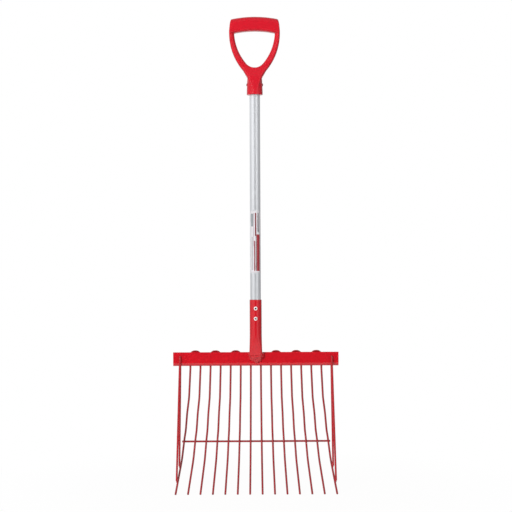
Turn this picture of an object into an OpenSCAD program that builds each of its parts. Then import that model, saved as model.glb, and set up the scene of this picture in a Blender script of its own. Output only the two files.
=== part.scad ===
// Manure fork: moulded D-grip, tube shaft, riveted steel socket and a welded basket of hairpin tines.
// Millimetres, +Z up along the shaft, front towards -Y, origin under the middle of the hand bar.

/* [Hand grip] */
// Distance between the middles of the two arms at the hand bar
grip_span = 115; // [100:1:130]
// Height of the hand bar
hand_bar_h = 36.2; // [26:0.2:45]
// Depth of the hand bar, front to back
hand_bar_d = 29; // [20:0.5:40]
// Rise of the hand bar's middle above its ends
hand_bar_arch = 6.6; // [2:0.1:12]
// Width of an arm at its widest level, seen from the front
arm_w = 13.2; // [9:0.1:18]
// Depth of an arm, front to back
arm_d = 22; // [14:0.5:32]
// Radius of the arms' outer curve
arm_curve_r = 146; // [130:1:190]
// Radius of the arms' inner curve
arm_inner_r = 110; // [104:1:125]
// Height of the hand opening in the middle
opening_h = 92; // [84:1:98]
// Distance from the hang point down to the open end of the grip's socket
grip_drop = 160.3; // [150:0.1:200]
// Outside diameter of the grip's socket at its open end
grip_socket_d = 39.8; // [36:0.2:48]
// Outside diameter of the grip's neck
grip_neck_d = 36.8; // [32:0.2:44]

/* [Shaft] */
// Outside diameter of the shaft tube
shaft_d = 26.5; // [22:0.1:32]
// Wall of the shaft tube
shaft_wall = 1.8; // [1:0.1:3]
// Distance from the hang point down to the top of the steel socket
socket_drop = 676.2; // [450:0.1:1000]
// Length of tube inside the steel socket
shaft_in_socket = 80; // [50:1:110]

/* [Steel socket] */
// Wall of the steel socket
socket_wall = 1.8; // [1:0.1:3]
// Length of the round part of the steel socket
socket_round_h = 89; // [70:1:120]
// Length over which the steel socket flattens
socket_taper_h = 43.6; // [25:0.1:60]
// Width of the flattened foot
foot_w = 33; // [28:0.5:44]
// Depth of the flattened foot
foot_d = 18; // [12:0.5:24]
// Length of the foot that lies in front of the bar
foot_lap = 8; // [4:0.5:14]
// Distance of the upper rivet from the top of the socket
rivet_first = 21.9; // [12:0.1:30]
// Distance between the two rivets
rivet_pitch = 25.5; // [15:0.1:40]
// Diameter of the rivets' bodies
rivet_d = 4.8; // [3:0.1:6.5]
// Diameter of the rivets' heads
rivet_head_d = 10; // [7:0.1:13]

/* [Bar] */
// Length of the folded bar past the side guards' holes
bar_margin = 17.75; // [10:0.05:30]
// Height of the bar's front
bar_h = 35.2; // [26:0.2:45]
// Depth of the bar's flange
bar_flange = 28; // [20:0.5:40]
// Thickness of the bar's sheet
bar_t = 3; // [2:0.1:5]
// Inside radius of the bar's fold
fold_r = 2.5; // [1:0.1:5]

/* [Tines] */
// Diameter of the rods
rod_d = 5; // [3.5:0.1:7]
// Distance between neighbouring tines at the bar
tine_pitch = 25.5; // [18:0.1:34]
// Distance between neighbouring tines at their points
tip_pitch = 31; // [20:0.1:40]
// Height of the tines below the bar
tine_drop = 315.8; // [240:0.1:400]
// Backward reach of the tines at their deepest place
basket_back = 26; // [10:1:60]
// Forward reach of the points from where the tines leave the bar
tip_reach = 62; // [20:1:110]
// Height of the hairpin bends above the bar
hairpin_rise = 4.4; // [3:0.2:12]
// Radius of the hairpin bends
hairpin_bend_r = 10.9; // [7:0.1:12.6]
// Radius of the bends in the tines
tine_bend_r = 60; // [30:1:90]
// Distance of the rods' middles behind the bar's front
rod_back = 8.5; // [7:0.1:16]
// Distance of a guard's front leg before the bar's front
guard_front = 6; // [4:0.1:12]
// Height of the guard's hole above the bar's lower edge
guard_hole_h = 24.4; // [14:0.1:28]

/* [Hidden] */
red_plastic = "#d2202f";
red_paint = "#c81c28";
tube_grey = "#c9cacd";
rivet_silver = "#d0d0d2";
pin_steel = "#6d6a6a";
round_fn = 64;
slice_fn = 32;
over = 1;
fit = 0.1;
weld_gap = 0.2;

arm_round = 5;
bar_round = 11;
web_rise = 8;
web_gap = 5;
web_top_w = 77;
web_top_d = 18;
web_neck_w = 38.4;
web_neck_d = 36.4;
web_round = 7;
web_cut_r = 28;
tongue_drop = 156;
tongue_w = 14;
tongue_d = 39.2;
tongue_round = 4;
neck_rise = 15;
neck_top_d = 20;
grip_bore_roof = 4;
neck_drop = 121;
arm_top = 4;
arm_end = 104;
arm_wide_drop = 4.8;
arm_steps = 14;
corner_steps = 3;
bar_end_r = 127;
bar_end_over = 0.2;

cross_rivet_d = 4.8;
cross_rivet_head_d = 9.2;
cross_rivet_head_h = 3;
cross_rivet_up = 25.2;
cross_spot_d = cross_rivet_head_d + 2 * fit;
spot_deep = 0.8;

flange_t = 1.3;
mandrel_d = 3;
mandrel_head_d = 4.4;
blind_head_d = 7;
blind_head_h = 4;
mandrel_sunk = 1;

hand_bar_r = (pow(grip_span / 2, 2) + pow(hand_bar_arch, 2)) / (2 * hand_bar_arch);
hand_bar_turn = 2 * asin((grip_span / 2 + arm_w) / hand_bar_r);
shaft_top = -(neck_drop - grip_bore_roof);
socket_d = shaft_d + 2 * fit + 2 * socket_wall;
socket_foot_z = -(socket_drop + socket_round_h + socket_taper_h);
bar_top_z = socket_foot_z - weld_gap;
bar_low_z = bar_top_z - bar_h;
foot_back_y = socket_d / 2 - (socket_d - foot_d) / 2 + fit;
bar_y = foot_back_y + fit;
rod_y = bar_y + rod_back;
cross_rivet_z = -(grip_drop - cross_rivet_up);
rivet_z = [-(socket_drop + rivet_first), -(socket_drop + rivet_first + rivet_pitch)];
pair_count = 7;
tine_count = 2 * pair_count;
rod_sides = 12;
rod_clear = 0.4;
rod_hole = rod_d + rod_clear;
guard_x = (tine_count + 1) / 2 * tine_pitch;
bar_len = 2 * (guard_x + bar_margin);
guard_hole_z = bar_low_z + guard_hole_h;
guard_bend_r = 5.5;
guard_kick = 6;
leg_straight = 7;
leg_bend_r = 14;
tip_round = 1.2;
tip_face_share = 0.5;
cross_overhang = 3;

drop_shares = [leg_straight / tine_drop, 0.26, 0.389, 0.527, 0.5876, 0.752, 1];
back_shares = [0, 0.77, 0.96, 1, 0.87, 0.22, -tip_reach / basket_back];
fan_shares = [0, 0.131, 0.28, 0.384, 0.469, 0.633, 1];
cross_share = 0.6106;
guard_inner_share = 0.808;
guard_outer_share = 0.9126;

function unit(v) = v / norm(v);
function turn(u, v) = acos(max(-1, min(1, u * v)));
function about(v, k, a) = v * cos(a) + cross(k, v) * sin(a) + k * (k * v) * (1 - cos(a));
function headings(p) = [for (k = [0:len(p) - 2]) unit(p[k + 1] - p[k])];
function arc_stations(p, u, v, r, steps) =
    let (a = turn(u, v), k = unit(cross(u, v)), n = cross(k, u), c = p - r * tan(a / 2) * u + r * n)
    [for (j = [0:steps]) [c - r * about(n, k, a * j / steps), about(u, k, a * j / steps), 1]];
function rod_stations(p, radii, steps) =
    let (h = headings(p))
    [for (i = [1:len(p) - 2]) each arc_stations(p[i], h[i - 1], h[i], radii[i], steps[i])];
function blunt_end(p, heading) = [[p, heading, 1]];
function carry(st, i, n) =
    i == len(st) ? [] :
    let (t = st[i][1], m = unit(n - (n * t) * t))
    concat([[st[i][0], m, cross(t, m), st[i][2]]], carry(st, i + 1, m));

// A closed solid over rings of places that turn anticlockwise seen against the way they follow on
module skin(rings) {
    n = len(rings[0]);
    last = len(rings) - 1;
    walls = [for (i = [0:last - 1]) for (j = [0:n - 1])
        each [[i * n + j, (i + 1) * n + j, (i + 1) * n + (j + 1) % n],
            [i * n + j, (i + 1) * n + (j + 1) % n, i * n + (j + 1) % n]]];
    ends = [[for (j = [0:n - 1]) j], [for (j = [0:n - 1]) last * n + n - 1 - j]];
    polyhedron(points = [for (r = rings) each r], faces = concat(walls, ends));
}

// A round rod carried along stations of place, heading and share of its thickness
module swept_rod(stations, start) {
    skin([for (f = carry(stations, 0, start)) [for (j = [0:rod_sides - 1])
        let (a = 360 * j / rod_sides) f[0] + f[3] * rod_d / 2 * (cos(a) * f[1] + sin(a) * f[2])]]);
}

// A solid moved so that its Z axis points along a heading
module aimed(place, heading) {
    x = unit(cross(abs(heading[2]) < 0.9 ? [0, 0, 1] : [1, 0, 0], heading));
    y = cross(heading, x);
    multmatrix([[x[0], y[0], heading[0], place[0]], [x[1], y[1], heading[1], place[1]],
        [x[2], y[2], heading[2], place[2]], [0, 0, 0, 1]])
        children();
}

module rounded_box(w, h, r, fn) {
    square([w - 2 * r, h], center = true);
    square([w, h - 2 * r], center = true);
    for (sx = [-1, 1], sy = [-1, 1])
        translate([sx * (w / 2 - r), sy * (h / 2 - r)])
            circle(r = r, $fn = fn);
}

// Places along a tine: number is the place in the row, counted from the middle
function station(i, k) = [
    i * (tine_pitch + fan_shares[k] * (tip_pitch - tine_pitch)),
    rod_y + back_shares[k] * basket_back,
    bar_low_z - drop_shares[k] * tine_drop];
function seg_of(s) = len([for (k = [1:len(drop_shares) - 2]) if (s > drop_shares[k]) k]);
function tine_at(i, s) =
    let (k = seg_of(s), t = (s - drop_shares[k]) / (drop_shares[k + 1] - drop_shares[k]))
    station(i, k) * (1 - t) + station(i, k + 1) * t;
function tine_heading(i, s) = let (k = seg_of(s)) unit(station(i, k + 1) - station(i, k));

// The arched hand bar, its ends cut to two arcs that carry on the arms' outer curves
module hand_bar() {
    end_x = (grip_span + arm_w) / 2 + bar_end_over;
    intersection() {
        translate([0, 0, -hand_bar_r])
            rotate([90, 0, 0])
                rotate([0, 0, 90 - hand_bar_turn / 2])
                    rotate_extrude(angle = hand_bar_turn, $fn = 4 * round_fn)
                        translate([hand_bar_r + hand_bar_h / 2, 0])
                            rounded_box(hand_bar_h, hand_bar_d, bar_round, slice_fn);
        translate([end_x - bar_end_r, 0, -arm_wide_drop])
            rotate([90, 0, 0])
                cylinder(h = hand_bar_d + over, r = bar_end_r, center = true, $fn = 2 * round_fn);
        translate([bar_end_r - end_x, 0, -arm_wide_drop])
            rotate([90, 0, 0])
                cylinder(h = hand_bar_d + over, r = bar_end_r, center = true, $fn = 2 * round_fn);
    }
}

function arm_side(x, r, z) = x - r + sqrt(pow(r, 2) - pow(z + arm_wide_drop, 2));
// A level section of an arm, between its inner and outer curves
function arm_ring(z) =
    let (a = arm_side((grip_span - arm_w) / 2, arm_inner_r, z),
        b = arm_side((grip_span + arm_w) / 2, arm_curve_r, z),
        m = (a + b) / 2, w = (b - a) / 2 - arm_round, d = arm_d / 2 - arm_round)
    [for (q = [0:3]) for (j = [0:corner_steps])
        let (t = 90 * (q + j / corner_steps), e = 90 * q + 45)
        [m + sign(cos(e)) * w + arm_round * cos(t), sign(sin(e)) * d + arm_round * sin(t), z]];

module arm() {
    skin([for (i = [0:arm_steps]) arm_ring(-arm_end + (arm_top + arm_end) * i / arm_steps)]);
}

module slice(z, w, d, r) {
    translate([0, 0, z])
        linear_extrude(height = fit)
            rounded_box(w, d, r, slice_fn);
}

// The arms and the web between them, cut round under the hand opening; the web thickens down to the neck
// and runs out as a tongue over the socket
module arms_and_web() {
    difference() {
        union() {
            arm();
            mirror([1, 0, 0]) arm();
            hull() {
                slice(web_rise - opening_h, web_top_w, web_top_d, web_round);
                slice(web_gap - neck_drop, web_neck_w, web_neck_d, web_round);
            }
        }
        translate([0, 0, web_cut_r - opening_h])
            rotate([90, 0, 0])
                cylinder(h = web_neck_d + 2 * over, r = web_cut_r, center = true, $fn = round_fn);
    }
    hull() {
        slice(web_gap - neck_drop, web_neck_w, web_neck_d, web_round);
        slice(-tongue_drop, tongue_w, tongue_d, tongue_round);
    }
}

module grip_socket() {
    translate([0, 0, -grip_drop])
        cylinder(h = grip_drop - neck_drop, d1 = grip_socket_d, d2 = grip_neck_d, $fn = round_fn);
    translate([0, 0, -neck_drop])
        cylinder(h = neck_rise, d1 = grip_neck_d, d2 = neck_top_d, $fn = round_fn);
}

function grip_socket_r(z) =
    (grip_socket_d + (grip_neck_d - grip_socket_d) * (z + grip_drop) / (grip_drop - neck_drop)) / 2;
cross_seat = grip_socket_r(cross_rivet_z) - spot_deep;

// The hole for the cross rivet, right through a round piece
module cross_hole(through_d) {
    translate([0, 0, cross_rivet_z])
        rotate([0, 90, 0])
            cylinder(h = through_d + 2 * over, d = cross_rivet_d + 2 * fit, center = true, $fn = round_fn);
}

module grip() {
    color(red_plastic)
        difference() {
            union() {
                hand_bar();
                arms_and_web();
                grip_socket();
            }
            translate([0, 0, -grip_drop - over])
                cylinder(h = shaft_top + grip_drop + over + fit, d = shaft_d + 2 * fit, $fn = round_fn);
            cross_hole(grip_socket_d);
            for (s = [-1, 1])
                translate([s * cross_seat, 0, cross_rivet_z])
                    rotate([0, s * 90, 0])
                        cylinder(h = cross_rivet_head_h + over, d = cross_spot_d, $fn = round_fn);
        }
}

// A low domed head, flat side down, standing on the origin
module domed_head(d, h) {
    r = (pow(d / 2, 2) + pow(h, 2)) / (2 * h);
    rotate_extrude($fn = round_fn)
        intersection() {
            translate([0, h - r])
                circle(r = r, $fn = round_fn);
            square([d, h]);
        }
}

module grip_rivet() {
    color(pin_steel)
        translate([0, 0, cross_rivet_z]) {
            rotate([0, 90, 0])
                cylinder(h = 2 * (cross_seat + over), d = cross_rivet_d, center = true, $fn = round_fn);
            for (s = [-1, 1])
                translate([s * cross_seat, 0, 0])
                    rotate([0, s * 90, 0])
                        domed_head(cross_rivet_head_d, cross_rivet_head_h);
        }
}

module shaft() {
    low = -(socket_drop + shaft_in_socket);
    color(tube_grey)
        difference() {
            translate([0, 0, low])
                cylinder(h = shaft_top - low, d = shaft_d, $fn = round_fn);
            translate([0, 0, low - over])
                cylinder(h = shaft_top - low + 2 * over, d = shaft_d - 2 * shaft_wall, $fn = round_fn);
            cross_hole(shaft_d);
            for (z = rivet_z)
                translate([0, 0, z])
                    rotate([90, 0, 0])
                        cylinder(h = shaft_d, d = rivet_d + 2 * fit, $fn = round_fn);
        }
}

module foot_slice(inset, t) {
    translate([0, foot_back_y - foot_d / 2, 0])
        linear_extrude(height = t)
            rounded_box(foot_w - 2 * inset, foot_d - 2 * inset, foot_d / 3 - inset / 2, slice_fn);
}

module socket_taper(inset) {
    hull() {
        translate([0, 0, socket_foot_z + socket_taper_h - fit])
            cylinder(h = fit, d = socket_d - 2 * inset, $fn = slice_fn);
        translate([0, 0, socket_foot_z])
            foot_slice(inset, fit);
    }
}

module socket() {
    top = -socket_drop;
    color(red_paint)
        difference() {
            union() {
                translate([0, 0, top - socket_round_h])
                    cylinder(h = socket_round_h, d = socket_d, $fn = round_fn);
                socket_taper(0);
                translate([0, 0, socket_foot_z - foot_lap])
                    foot_slice(0, foot_lap);
            }
            translate([0, 0, top - socket_round_h])
                cylinder(h = socket_round_h + over, d = shaft_d + 2 * fit, $fn = round_fn);
            socket_taper(socket_wall);
            translate([0, 0, socket_foot_z - foot_lap / 2])
                foot_slice(socket_wall, foot_lap / 2);
            for (z = rivet_z)
                translate([0, 0, z])
                    rotate([90, 0, 0])
                        cylinder(h = socket_d, d = rivet_d + 2 * fit, $fn = round_fn);
        }
}

module tube_wall(outer_d, inner_d) {
    difference() {
        cylinder(h = outer_d, d = outer_d, center = true, $fn = round_fn);
        cylinder(h = outer_d + over, d = inner_d, center = true, $fn = round_fn);
    }
}

module rivet_body(z) {
    wall = socket_d / 2 - (shaft_d / 2 - shaft_wall);
    inner = shaft_d / 2 - shaft_wall;
    difference() {
        translate([0, 0, z])
            rotate([90, 0, 0])
                union() {
                    difference() {
                        translate([0, 0, socket_d / 2 - over])
                            domed_head(rivet_head_d, flange_t + over);
                        rotate([90, 0, 0])
                            cylinder(h = rivet_head_d + over, d = socket_d, center = true, $fn = round_fn);
                    }
                    translate([0, 0, inner - blind_head_h])
                        cylinder(h = wall + blind_head_h + flange_t / 2, d = rivet_d, $fn = round_fn);
                    translate([0, 0, inner - blind_head_h])
                        difference() {
                            cylinder(h = blind_head_h + over, d = blind_head_d, $fn = round_fn);
                            translate([0, 0, blind_head_h - inner])
                                rotate([90, 0, 0])
                                    tube_wall(2 * shaft_d, 2 * inner);
                        }
                }
        translate([0, 0, z])
            rotate([90, 0, 0])
                cylinder(h = socket_d, d = mandrel_d + fit, $fn = round_fn);
    }
}

module rivet_bodies() {
    color(rivet_silver)
        for (z = rivet_z)
            rivet_body(z);
}

module rivet_mandrels() {
    low = shaft_d / 2 - shaft_wall - blind_head_h - mandrel_d;
    high = socket_d / 2 + flange_t - mandrel_sunk;
    color(pin_steel)
        for (z = rivet_z)
            translate([0, 0, z])
                rotate([90, 0, 0])
                    translate([0, 0, low]) {
                        cylinder(h = high - low, d = mandrel_d, $fn = round_fn);
                        cylinder(h = mandrel_d, d = mandrel_head_d, $fn = round_fn);
                    }
}

module bar_profile() {
    turn_r = fold_r + bar_t;
    translate([bar_y, bar_low_z + turn_r])
        square([bar_t, bar_h - turn_r]);
    translate([bar_y + turn_r, bar_low_z])
        square([bar_flange - turn_r, bar_t]);
    intersection() {
        translate([bar_y, bar_low_z])
            square([turn_r, turn_r]);
        translate([bar_y + turn_r, bar_low_z + turn_r])
            difference() {
                circle(r = turn_r, $fn = round_fn);
                circle(r = fold_r, $fn = round_fn);
            }
    }
}

module head_bar() {
    color(red_paint)
        difference() {
            translate([-bar_len / 2, 0, 0])
                multmatrix([[0, 0, 1, 0], [1, 0, 0, 0], [0, 1, 0, 0], [0, 0, 0, 1]])
                    linear_extrude(height = bar_len)
                        bar_profile();
            for (i = [-(tine_count + 1) / 2:(tine_count + 1) / 2])
                translate([i * tine_pitch, rod_y, bar_low_z - over])
                    cylinder(h = bar_t + 2 * over, d = rod_hole, $fn = round_fn);
            for (s = [-1, 1])
                translate([s * guard_x, bar_y + bar_t + over, guard_hole_z])
                    rotate([90, 0, 0])
                        cylinder(h = bar_t + 2 * over, d = rod_hole, $fn = round_fn);
        }
}

function tine_points(i) = [for (k = [len(drop_shares) - 1:-1:0]) station(i, k)];

// One hairpin: the two tines at places first and first + 1 in the row, joined by a bend above the bar
module tine_pair(first) {
    top = bar_top_z + hairpin_rise - rod_d / 2;
    up = tine_points(first);
    down = tine_points(first + 1);
    path = concat(up, [[first * tine_pitch, rod_y, top], [(first + 1) * tine_pitch, rod_y, top]],
        [for (k = [len(down) - 1:-1:0]) down[k]]);
    bend = min(hairpin_bend_r, tine_pitch / 2 - fit);
    r = tine_bend_r;
    radii = [0, r, r, r, r, r, leg_bend_r, bend, bend, leg_bend_r, r, r, r, r, r, 0];
    steps = [0, 3, 2, 2, 2, 2, 2, 7, 7, 2, 2, 2, 2, 2, 3, 0];
    h = headings(path);
    last = len(path) - 1;
    end = path[last] - tip_round * h[last - 1];
    color(red_paint)
        swept_rod(concat([[path[0], h[0], tip_face_share], [path[0] + tip_round * h[0], h[0], 1]],
            rod_stations(path, radii, steps),
            [[end, h[last - 1], 1], [path[last], h[last - 1], tip_face_share]]), [1, 0, 0]);
}

module tine_pair_1() { tine_pair(-tine_count / 2 + 0.5); }
module tine_pair_2() { tine_pair(-tine_count / 2 + 2.5); }
module tine_pair_3() { tine_pair(-tine_count / 2 + 4.5); }
module tine_pair_4() { tine_pair(-tine_count / 2 + 6.5); }
module tine_pair_5() { tine_pair(-tine_count / 2 + 8.5); }
module tine_pair_6() { tine_pair(-tine_count / 2 + 10.5); }
module tine_pair_7() { tine_pair(-tine_count / 2 + 12.5); }

outer_tine = (tine_count - 1) / 2;
guard_side_share = 0.55;
// The end of a guard's leg, beside and in front of the outer tine
function guard_end(s) =
    let (t = tine_heading(outer_tine, s), w = unit([guard_side_share, -1, 0]))
    tine_at(outer_tine, s) + (rod_d + weld_gap) * unit(w - (w * t) * t);
guard_path = [guard_end(guard_inner_share),
    [guard_x, rod_y, bar_low_z - guard_kick],
    [guard_x, rod_y, guard_hole_z],
    [guard_x, bar_y - guard_front, guard_hole_z],
    guard_end(guard_outer_share)];

module side_guard() {
    h = headings(guard_path);
    color(red_paint)
        swept_rod(concat(blunt_end(guard_path[0], h[0]),
            rod_stations(guard_path, [0, leg_bend_r, guard_bend_r, guard_bend_r, 0], [0, 2, 6, 6, 0]),
            blunt_end(guard_path[4], h[3])), [1, 0, 0]);
}

module side_guard_right() { side_guard(); }
module side_guard_left() { mirror([1, 0, 0]) side_guard(); }

cross_heading = tine_heading(0, cross_share);
cross_mid = tine_at(0, cross_share) + (rod_d + weld_gap) * [0, -cross_heading[2], cross_heading[1]];
cross_half = tine_at(outer_tine, cross_share)[0] + rod_d / 2 + cross_overhang;

module cross_rod() {
    color(red_paint)
        translate([-cross_half, 0, 0] + cross_mid)
            rotate([0, 90, 0])
                cylinder(h = 2 * cross_half, d = rod_d, $fn = round_fn);
}

nugget_d = 7;
module cross_rod_welds() {
    color(red_paint)
        for (i = [-outer_tine:outer_tine]) {
            p = tine_at(i, cross_share);
            q = [p[0], cross_mid[1], cross_mid[2]];
            heading = tine_heading(i, cross_share);
            difference() {
                translate((p + q) / 2)
                    sphere(d = nugget_d, $fn = round_fn);
                aimed(q - [nugget_d, 0, 0], [1, 0, 0])
                    cylinder(h = 2 * nugget_d, d = rod_d, $fn = round_fn);
                aimed(p - nugget_d * heading, heading)
                    cylinder(h = 2 * nugget_d, d = rod_d, $fn = round_fn);
            }
        }
}

module guard_weld(s, heading) {
    difference() {
        translate((tine_at(outer_tine, s) + guard_end(s)) / 2)
            sphere(d = nugget_d, $fn = round_fn);
        aimed(tine_at(outer_tine, s) - nugget_d * tine_heading(outer_tine, s), tine_heading(outer_tine, s))
            cylinder(h = 2 * nugget_d, d = rod_d, $fn = round_fn);
        aimed(guard_end(s) - nugget_d * heading, heading)
            cylinder(h = nugget_d, d = rod_d, $fn = round_fn);
    }
}

module guard_welds() {
    h = headings(guard_path);
    color(red_paint)
        for (s = [0, 1])
            mirror([s, 0, 0]) {
                guard_weld(guard_inner_share, -h[0]);
                guard_weld(guard_outer_share, h[3]);
            }
}

ring_w = 2.6;
ring_h = 2.6;
module tine_welds() {
    color(red_paint)
        for (i = [-(tine_count + 1) / 2:(tine_count + 1) / 2])
            translate([i * tine_pitch, rod_y, bar_low_z + bar_t])
                rotate_extrude($fn = round_fn)
                    polygon([[rod_d / 2, 0], [rod_hole / 2 + ring_w, 0], [rod_d / 2, ring_h]]);
}

weld_half_w = 21;
weld_drop = 26.5;
weld_h = 12.5;
weld_side_h = 5;
weld_steps = 32;
weld_ripple_share = 0.06;
weld_full_share = 0.72;
// Inner edge along the foot, outer edge along a half ellipse; share runs from one side to the other
function weld_inner(v) =
    let (a = 180 + 180 * v, x = foot_w / 2 + fit, z = foot_lap + fit, c = cos(a), s = -sin(a),
        k = min(x / max(abs(c), fit / x), z / max(s, fit / x)))
    [k * c, bar_top_z - k * s];
function weld_outer(v) = [weld_half_w * cos(180 + 180 * v), bar_top_z + weld_drop * sin(180 + 180 * v)];
function weld_rise(v) = (weld_side_h + (weld_h - weld_side_h) * pow(sin(180 * v), 2))
    * (1 + weld_ripple_share * sin(360 * v * weld_steps / 4));
function weld_ring(v) =
    let (a = weld_inner(v), b = weld_outer(v), m = (a + b) / 2, h = weld_rise(v))
    [[a[0], bar_y - fit, a[1]], [b[0], bar_y - fit, b[1]],
        [m[0], bar_y - weld_full_share * h, m[1]], [a[0], bar_y - h, a[1]]];

module socket_weld() {
    color(red_paint)
        skin([for (i = [weld_steps:-1:0]) weld_ring(i / weld_steps)]);
}

grip();
grip_rivet();
shaft();
socket();
rivet_bodies();
rivet_mandrels();
head_bar();
tine_pair_1();
tine_pair_2();
tine_pair_3();
tine_pair_4();
tine_pair_5();
tine_pair_6();
tine_pair_7();
side_guard_left();
side_guard_right();
cross_rod();
socket_weld();
tine_welds();
guard_welds();
cross_rod_welds();
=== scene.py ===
"""A manure fork on a white studio floor: moulded D-grip, aluminium shaft, riveted socket and rod basket."""
import math

import bmesh
import bpy
import numpy as np
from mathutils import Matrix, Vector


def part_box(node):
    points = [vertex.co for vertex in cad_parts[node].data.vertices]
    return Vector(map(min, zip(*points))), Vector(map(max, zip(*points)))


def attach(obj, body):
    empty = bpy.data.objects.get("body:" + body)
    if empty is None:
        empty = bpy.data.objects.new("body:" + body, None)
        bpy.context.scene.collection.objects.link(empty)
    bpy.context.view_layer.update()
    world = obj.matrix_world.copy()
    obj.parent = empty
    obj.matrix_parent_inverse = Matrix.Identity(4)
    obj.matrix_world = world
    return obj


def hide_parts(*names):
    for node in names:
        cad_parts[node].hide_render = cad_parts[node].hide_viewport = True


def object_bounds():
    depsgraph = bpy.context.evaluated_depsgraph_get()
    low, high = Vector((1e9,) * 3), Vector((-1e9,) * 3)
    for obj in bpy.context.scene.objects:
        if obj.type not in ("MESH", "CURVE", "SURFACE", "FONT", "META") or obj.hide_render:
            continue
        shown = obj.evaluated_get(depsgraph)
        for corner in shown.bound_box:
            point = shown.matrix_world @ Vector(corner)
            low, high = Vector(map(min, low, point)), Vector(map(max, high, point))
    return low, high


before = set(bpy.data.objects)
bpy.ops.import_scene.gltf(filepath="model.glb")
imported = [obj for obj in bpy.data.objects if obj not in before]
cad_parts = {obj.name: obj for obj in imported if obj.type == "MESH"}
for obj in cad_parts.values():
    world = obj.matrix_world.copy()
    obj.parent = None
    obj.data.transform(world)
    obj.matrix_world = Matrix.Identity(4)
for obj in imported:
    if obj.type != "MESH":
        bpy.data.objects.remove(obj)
cad_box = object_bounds()

# Lengths are millimetres in the part's own frame: +Z up the shaft, front towards -Y.
# Names end in w for width, d depth, h height, t thickness, r radius, and y or z for a place.
MM = 0.001
X_AXIS = np.array([1.0, 0.0, 0.0])
Y_AXIS = np.array([0.0, 1.0, 0.0])
# Orders of coordinates that lay a shape turned about Z along X or along Y, or count its levels along X
ALONG_X = [2, 1, 0]
ALONG_Y = [0, 2, 1]
LEVELS_TO_X = [2, 0, 1]


def node_box(name):
    """Lowest and highest corner of a solid of the frame, in millimetres."""
    low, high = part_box(name)
    return np.array(low) / MM, np.array(high) / MM


# Sizes read from the frame
shaft_low, shaft_high = node_box("shaft")
socket_low, socket_high = node_box("socket")
bar_low, bar_high = node_box("head_bar")
cross_low, cross_high = node_box("cross_rod")
pin_low, pin_high = node_box("grip_rivet")
grip_end_z = node_box("grip")[0][2]
hairpin_top_z = node_box("tine_pair_4")[1][2]
shaft_r = shaft_high[0]
socket_r = socket_high[1]
pin_z = (pin_low[2] + pin_high[2]) / 2
cross_middle = (cross_low + cross_high) / 2

# Hand grip
grip_span = 115.0
hand_bar_h = 36.1
hand_bar_d = 29.0
hand_bar_round = 13.0
hand_bar_low_round = 8.0
hand_bar_r = 253.8
hand_bar_end_r = 127.0
hand_bar_end_round = 3.0
arm_w = 13.2
arm_d = 22.0
arm_round = 6.4
arm_thin_share = 0.45
arm_thin_fade_h = 32.0
arm_outer_r = 146.0
arm_outer_wide_z = -4.8
arm_inner_r = 128.5
arm_inner_half = 51.3
arm_inner_wide_z = 1.2
arm_top_z = 4.0
arm_end_z = -104.0
grip_half = (grip_span + arm_w) / 2
opening_h = 92.4
opening_r = 25.7
opening_cut_d = 30.0
# Web under the opening: level, width, depth and corner radius of each section
web_sections = (
    (-84.0, 77.0, 11.0, 5.0),
    (-94.0, 64.9, 23.7, 7.0),
    (-116.0, 38.4, 36.4, 7.0),
    (-156.0, 14.0, 39.2, 4.0))
# Cone round the shaft's end: radius and level
cone_profile = ((10.0, -106.0), (18.8, -121.0), (20.05, -153.0), (20.05, -164.0))
bore_gap = 0.1
bore_r = shaft_r + bore_gap
clear_r = 40.0
clear_h = 10.0
cross_seat = 18.2
spot_r = 4.7
spot_cut_d = 8.0
pin_head_h = 3.0
pin_shank_r = 2.4
pin_pole_angle = 0.02  # radians

# Shaft and label
shaft_wall = 1.8
shaft_edge = 0.3
label_top_z = -452.5
label_low_z = -608.5
label_turn = 74.0  # degrees to each side
label_lift = 0.02
label_t = 0.15
# Print on the label: middle across, half width, middle along, half height and ink of each block
label_blocks = (
    (7.0, 3.6, -558.0, 46.0, "#a02a34"),
    (7.0, 1.1, -482.0, 24.0, "#43373b"),
    (2.1, 0.8, -558.0, 46.0, "#4c3a3e"),
    (0.8, 1.7, -487.0, 29.0, "#7a2f37"),
    (-1.8, 1.5, -566.0, 38.0, "#8a3a42"),
    (-4.6, 0.8, -500.0, 42.0, "#b9a9ae"),
    (-7.8, 2.6, -476.0, 16.0, "#8f9498"),
    (-7.8, 0.9, -560.0, 42.0, "#a7a0a5"))

# Socket and its rivets
socket_round_h = 89.0
socket_taper_z = socket_high[2] - socket_round_h
socket_edge = 0.8
socket_rim_h = 2.0
taper_lead_h = 1.0
taper_power = 1.15
foot_squareness = 3.0
foot_mid_y = 0.1
foot_half_w = 16.5
foot_half_d = 9.0
foot_floor_t = 4.0
foot_edge = 0.35
foot_round = 1.2
rivet_levels = (-698.1, -723.6)
rivet_head_r = 4.7
rivet_rim_t = 0.3
rivet_rim_sunk = 0.2
rivet_flange_h = 1.3
rivet_hole_r = 2.2
rivet_core_d = 8.0
# Front of a rivet's flange from the hole outwards: radius and height over the socket
rivet_front = np.array([
    (rivet_hole_r, 0.6), (2.25, 0.85), (2.4, 1.1), (2.7, 1.28),
    (3.1, rivet_flange_h), (3.7, 1.1), (4.2, 0.75), (4.5, 0.4)])
mandrel_sunk = 0.9
mandrel_play = 0.05
mandrel_inner_end = 4.0
mandrel_edge_h = 0.3
mandrel_edge_w = 0.4
mandrel_pit_r = 0.3
mandrel_pit_d = 0.15

# Head bar
bar_t = 3.0
bar_fold_r = 5.5
bar_edge = 0.4
bar_edge_angle = 50.0  # degrees
rod_hole_r = 2.5
hole_below = 5.0
hole_above = 8.0

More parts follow.
